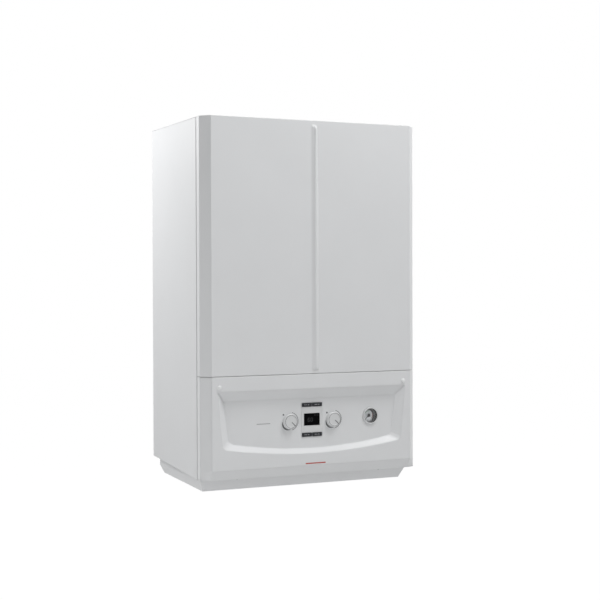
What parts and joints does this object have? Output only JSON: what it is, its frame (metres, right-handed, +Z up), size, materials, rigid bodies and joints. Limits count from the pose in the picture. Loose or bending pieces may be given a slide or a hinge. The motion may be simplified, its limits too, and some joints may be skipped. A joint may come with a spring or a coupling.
{
  "type": "condensing boiler",
  "caption": "Wall-hung condensing boiler with faceted white casing, ribbed lift-off front cover, tilting control panel with knobs, display and gauge, storage tank and burner inside.",
  "frame": {"origin": "midway between the two wall fixing slots, on the wall plane", "axes": "+X to the right seen from the front, +Y into the wall, +Z up"},
  "size_m": [0.6, 0.3834, 0.9307],
  "materials": {
    "white_paint": "soft gloss white powder coat",
    "white_plastic": "fine satin moulding",
    "grey_plastic": "soft-touch grey",
    "black_plastic": "moulded black",
    "galvanised": "zinc-coated sheet",
    "stainless": "dull stainless",
    "cast_aluminium": "die cast",
    "copper": "drawn copper tube",
    "brass": "machined",
    "flue_white": "heat-proof plastic",
    "red_paint": "gloss enamel",
    "pump_iron": "dipped black",
    "hose_rubber": "ribless drain hose",
    "electrode_ceramic": "glazed",
    "foam": "open-cell sound foam",
    "board": "solder mask",
    "display_black": "dark window",
    "gauge_black": "black moulding",
    "clear_lens": "clear"
  },
  "bodies": {
    "chassis": {"wall_bracket": "galvanised", "back_panel": "galvanised", "left_side_panel": "white_paint", "right_side_panel": "white_paint", "top_panel": "white_paint", "base_plate": "galvanised", "lower_skirt": "white_paint", "crossbar": "galvanised", "flue_socket": "flue_white", "flue_duct": "flue_white", "heat_exchanger": "stainless", "burner_door": "cast_aluminium", "electrodes": "electrode_ceramic", "premix_elbow": "cast_aluminium", "fan_housing": "cast_aluminium", "fan_motor": "black_plastic", "venturi": "cast_aluminium", "gas_valve": "cast_aluminium", "gas_tube": "copper", "gas_pipe": "copper", "pipe_nuts": "brass", "expansion_vessel": "red_paint", "pump": "pump_iron", "pump_riser": "copper", "return_pipe": "copper", "flow_pipe": "copper", "diverter_valve": "brass", "diverter_actuator": "black_plastic", "heating_flow_pipe": "copper", "storage_tank": "stainless", "tank_straps": "galvanised", "coil_flow_pipe": "copper", "coil_return_pipe": "copper", "cold_water_pipe": "copper", "hot_water_pipe": "copper", "condensate_trap": "black_plastic", "condensate_hose": "hose_rubber", "safety_valve": "brass", "filling_tap": "brass"},
    "front_cover": {"front_cover": "white_paint", "cover_insulation": "foam"},
    "control_panel": {"fascia": "white_plastic", "screw_caps": "white_plastic", "control_box": "black_plastic", "circuit_board": "board", "display_bezel": "white_plastic", "display_window": "display_black", "gauge_case": "gauge_black", "gauge_lens": "clear_lens"},
    "left_knob": {"left_knob": "white_plastic"},
    "right_knob": {"right_knob": "white_plastic"},
    "gauge_needle": {"gauge_needle": "gauge_black"},
    "fan_wheel": {"fan_impeller": "cast_aluminium"},
    "relief_knob": {"safety_valve_knob": "black_plastic"},
    "filling_lever": {"filling_tap_handle": "black_plastic"},
    "top_left_button": {"top_left_button": "grey_plastic"},
    "top_right_button": {"top_right_button": "grey_plastic"},
    "lower_left_button": {"lower_left_button": "grey_plastic"},
    "lower_right_button": {"lower_right_button": "grey_plastic"}
  },
  "joints": [
    {"name": "front_cover_off", "type": "slide", "parent": "chassis", "child": "front_cover", "axis": [0, -1, 0], "range_m": [0, 0.4]},
    {"name": "control_panel_tilt", "type": "hinge", "parent": "chassis", "child": "control_panel", "pos_m": [0, -0.348, -0.815], "axis": [1, 0, 0], "range_deg": [0, 75]},
    {"name": "left_knob_turn", "type": "hinge", "parent": "control_panel", "child": "left_knob", "pos_m": [-0.061, -0.364, -0.679], "axis": [0, -1, 0], "range_deg": [0, 270]},
    {"name": "right_knob_turn", "type": "hinge", "parent": "control_panel", "child": "right_knob", "pos_m": [0.061, -0.364, -0.679], "axis": [0, -1, 0], "range_deg": [0, 270]},
    {"name": "top_left_button_press", "type": "slide", "parent": "control_panel", "child": "top_left_button", "axis": [0, 1, 0], "range_m": [0, 0.001], "stiffness_N_per_m": 400},
    {"name": "top_right_button_press", "type": "slide", "parent": "control_panel", "child": "top_right_button", "axis": [0, 1, 0], "range_m": [0, 0.001], "stiffness_N_per_m": 400},
    {"name": "lower_left_button_press", "type": "slide", "parent": "control_panel", "child": "lower_left_button", "axis": [0, 1, 0], "range_m": [0, 0.001], "stiffness_N_per_m": 400},
    {"name": "lower_right_button_press", "type": "slide", "parent": "control_panel", "child": "lower_right_button", "axis": [0, 1, 0], "range_m": [0, 0.001], "stiffness_N_per_m": 400},
    {"name": "gauge_needle_turn", "type": "hinge", "parent": "control_panel", "child": "gauge_needle", "pos_m": [0.169, -0.364, -0.675], "axis": [0, -1, 0], "range_deg": [-270, 0]},
    {"name": "fan_spin", "type": "hinge", "parent": "chassis", "child": "fan_wheel", "pos_m": [-0.15, -0.315, -0.35], "axis": [0, 1, 0], "continuous": true},
    {"name": "relief_knob_turn", "type": "hinge", "parent": "chassis", "child": "relief_knob", "pos_m": [-0.181, -0.14, -0.6], "axis": [-1, 0, 0], "range_deg": [0, 90]},
    {"name": "filling_lever_turn", "type": "hinge", "parent": "chassis", "child": "filling_lever", "pos_m": [0.062, -0.14, -0.816], "axis": [0, 0, 1], "range_deg": [0, 90]}
  ]
}
